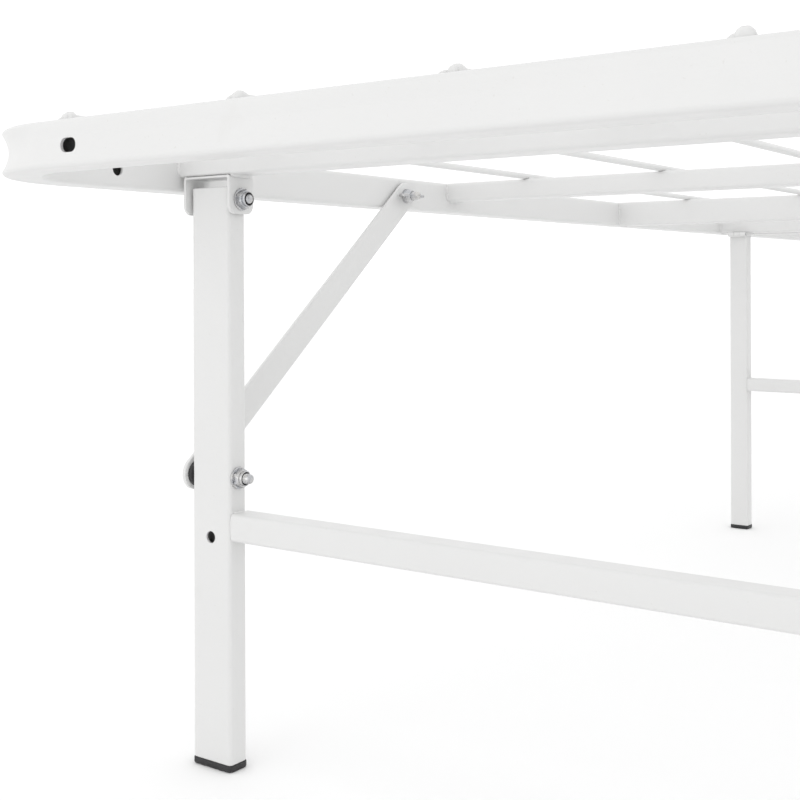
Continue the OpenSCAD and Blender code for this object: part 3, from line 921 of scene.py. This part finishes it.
def make_spacers(node):
    piece = Piece(node + "_look")
    for side in (-1, 1):
        low, high = box_of(node, side)
        y, z = (low.y + high.y) / 2, (low.z + high.z) / 2
        r = (high.z - low.z) / 2
        t = high.x - low.x
        profile = [(0, SPACER_HOLE_R), (0, r - 0.6), (0.2, r - 0.15), (0.6, r), (t - 0.6, r),
                   (t - 0.2, r - 0.15), (t, r - 0.6), (t, SPACER_HOLE_R)]
        piece.lathe_x(low.x, y, z, 1, profile, 56)
    return piece.done([node])


for end in ("foot", "head"):
    make_bolts(f"{end}_pivot_bolts", f"{end}_pivot_nuts")
    make_bolts(f"{end}_brace_bolts", f"{end}_brace_nuts")
    for kind in ("pivot", "brace"):
        make_washers(f"{end}_{kind}_washers")
        make_nuts(f"{end}_{kind}_nuts")
    make_spacers(f"{end}_brace_spacers")


def make_clamp_screw(end, part, side):
    node = f"{end}_clamp_screw_{part}"
    low, high = box_of(node)
    y, z = (low.y + high.y) / 2, (low.z + high.z) / 2
    way = -side
    start = low.x if way > 0 else high.x
    brace_low, brace_high = box_of(f"{end}_brace_{part}")
    collar = brace_low.x - low.x if way > 0 else high.x - brace_high.x
    length = high.x - low.x
    r = (high.z - low.z) / 2
    piece = Piece(node + "_look")
    profile = [(0, r * 0.9), (0.15, r), (collar - 0.1, r), (collar, r * 0.95), (collar, BOLT_R)]
    profile += thread(collar + 3.2, length, 2.95)
    piece.lathe_x(start, y, z, way, profile)
    return piece.done([node], sharp=42)


def make_wing_nut(end, part, side):
    node = f"{end}_wing_nut_{part}"
    low, high = box_of(node)
    screw = middle(f"{end}_clamp_screw_{part}")
    y, z = screw.y, screw.z
    way = -side
    start = low.x if way > 0 else high.x
    piece = Piece(node + "_look")
    profile = [(0.05, HOLE_R), (0.05, HUB_R), (1.0, HUB_R), (HUB_T * 0.6, HUB_R * 0.9),
               (HUB_T - 0.5, HUB_R * 0.78), (HUB_T, HUB_R * 0.7), (HUB_T, HOLE_R)]
    piece.lathe_x(start, y, z, way, profile, loop=True)
    span = (high.y - low.y) / 2
    rise = high.x - low.x
    for face in (-1, 1):
        outline = []
        for k in range(21):
            a = math.radians(-60 + 240 * k / 20)
            outline.append((span - 4.3 + 4.2 * math.cos(a), rise - 4.4 + 4.2 * math.sin(a)))
        outline += [(HUB_R * 0.6, HUB_T * 0.75), (HUB_R * 0.7, 0.8)]
        rings = []
        for inset, dz in ((0.45, -1.0), (0, -0.55), (0, 0.55), (0.45, 1.0)):
            mid_a = sum(p[0] for p in outline) / len(outline)
            mid_b = sum(p[1] for p in outline) / len(outline)
            ring = []
            for a, b in outline:
                d = Vector((a - mid_a, b - mid_b))
                f = max(0.0, 1 - inset / max(d.length, 0.1))
                ring.append((start + way * (mid_b + d.y * f), y + face * (mid_a + d.x * f), z + dz))
            rings.append(ring)
        piece.rings(rings)
    return piece.done([node], sharp=35)


for end in ("foot", "head"):
    for part, side in SIDES:
        make_clamp_screw(end, part, side)
        make_wing_nut(end, part, side)
